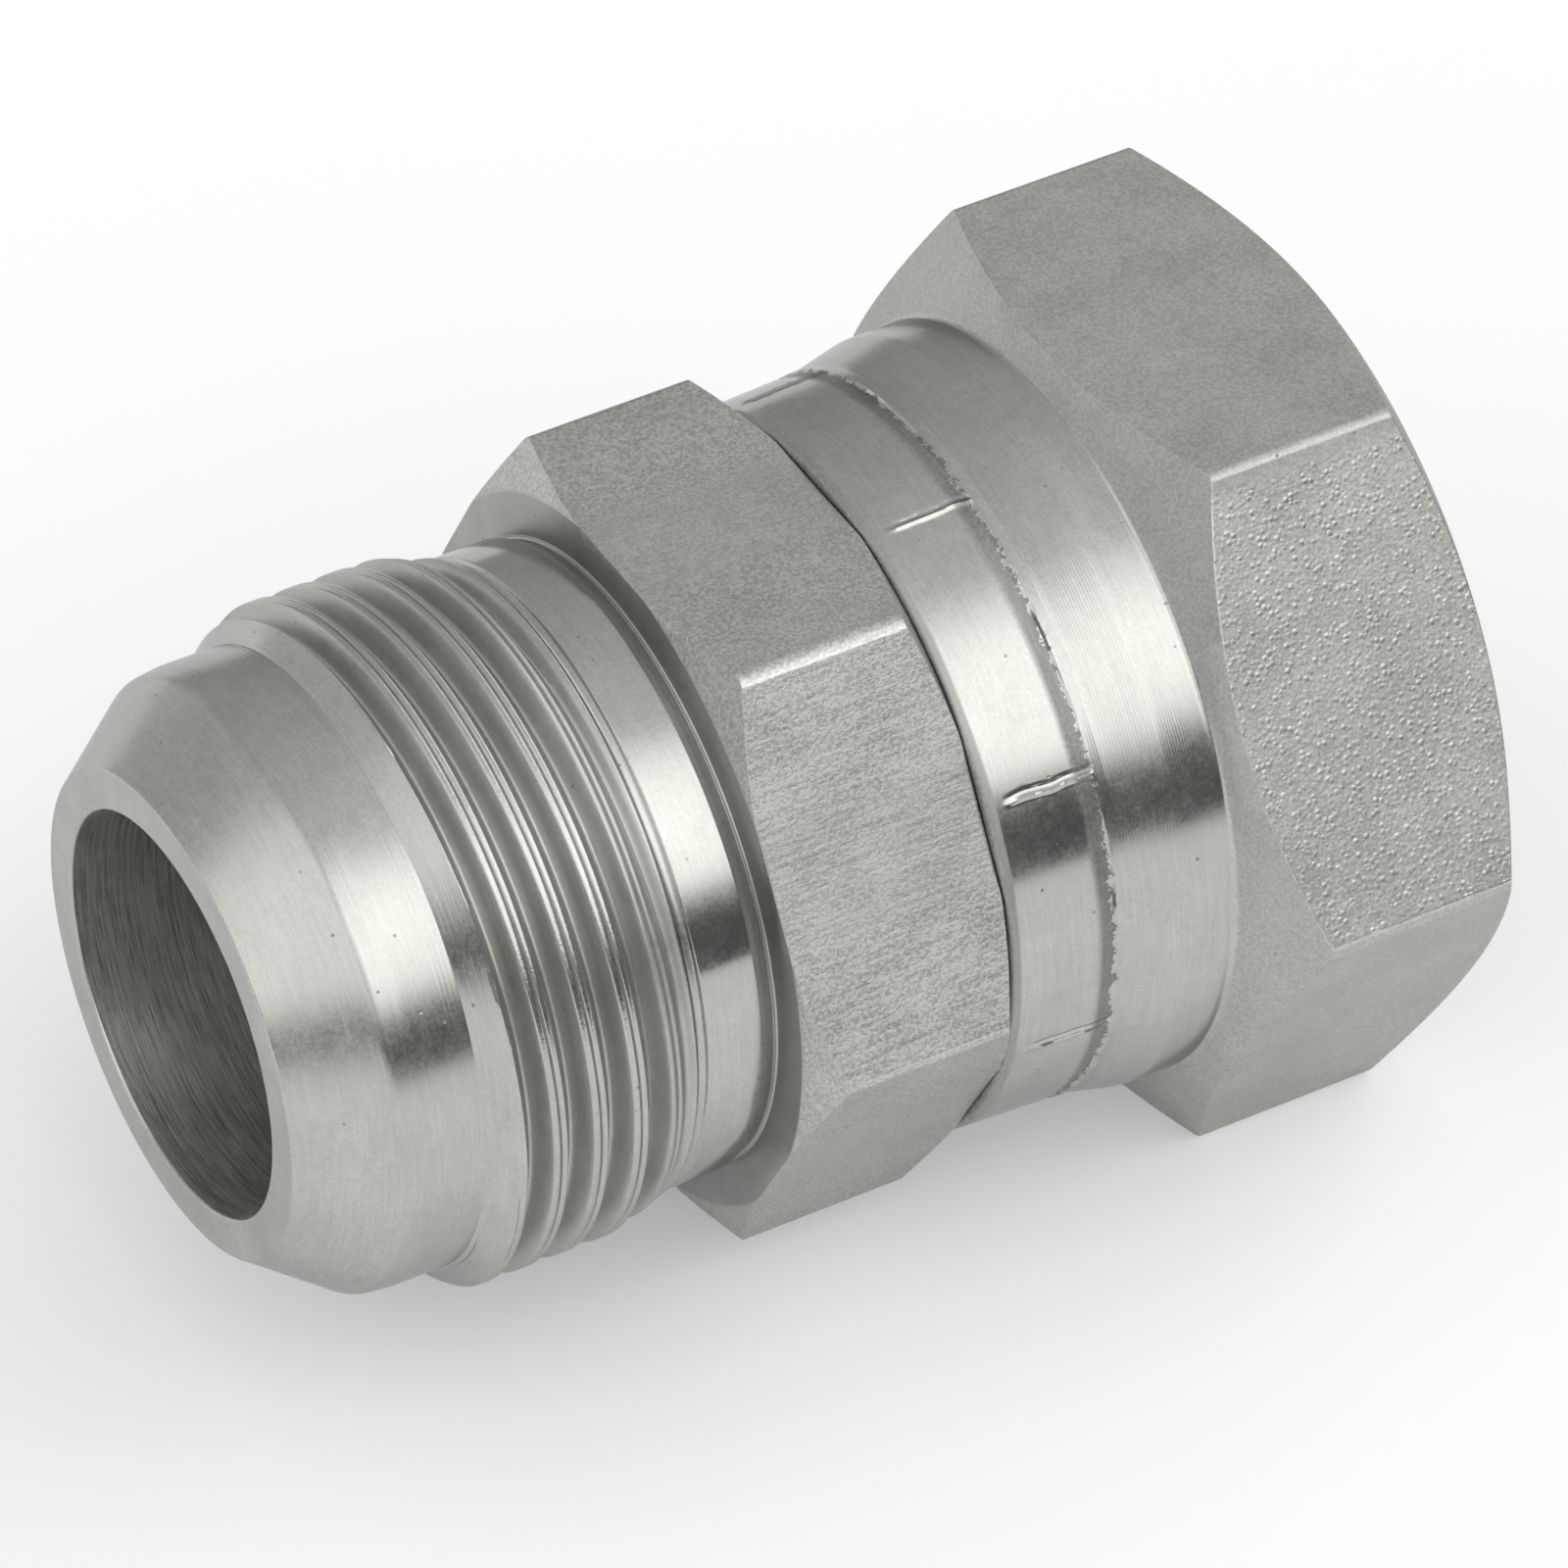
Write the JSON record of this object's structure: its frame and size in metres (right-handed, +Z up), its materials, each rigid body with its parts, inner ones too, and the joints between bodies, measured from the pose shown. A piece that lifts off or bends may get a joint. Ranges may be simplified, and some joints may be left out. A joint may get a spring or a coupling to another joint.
{
  "type": "hydraulic adapter",
  "caption": "Straight hydraulic adapter: a threaded male end with a conical nose, a hexagonal body and a crimped-on hexagonal swivel nut that turns freely.",
  "frame": {"origin": "on the bore's axis, halfway between the male nose and the nut's mouth", "axes": "+X along the bore towards the nut's mouth, +Z up through a flat of the nut's hexagon"},
  "size_m": [0.0608, 0.0474, 0.041],
  "materials": {
    "body_steel": "turned and milled steel, bright zinc plate, light handling wear",
    "nut_steel": "turned steel with as-drawn hexagon flats, bright zinc plate, light handling wear"
  },
  "bodies": {
    "body": {"adapter_body": "body_steel"},
    "nut": {"swivel_nut": "nut_steel"}
  },
  "joints": [
    {"name": "nut_swivel", "type": "hinge", "parent": "body", "child": "nut", "pos_m": [0.00465, 0, 0], "axis": [1, 0, 0], "continuous": true}
  ]
}
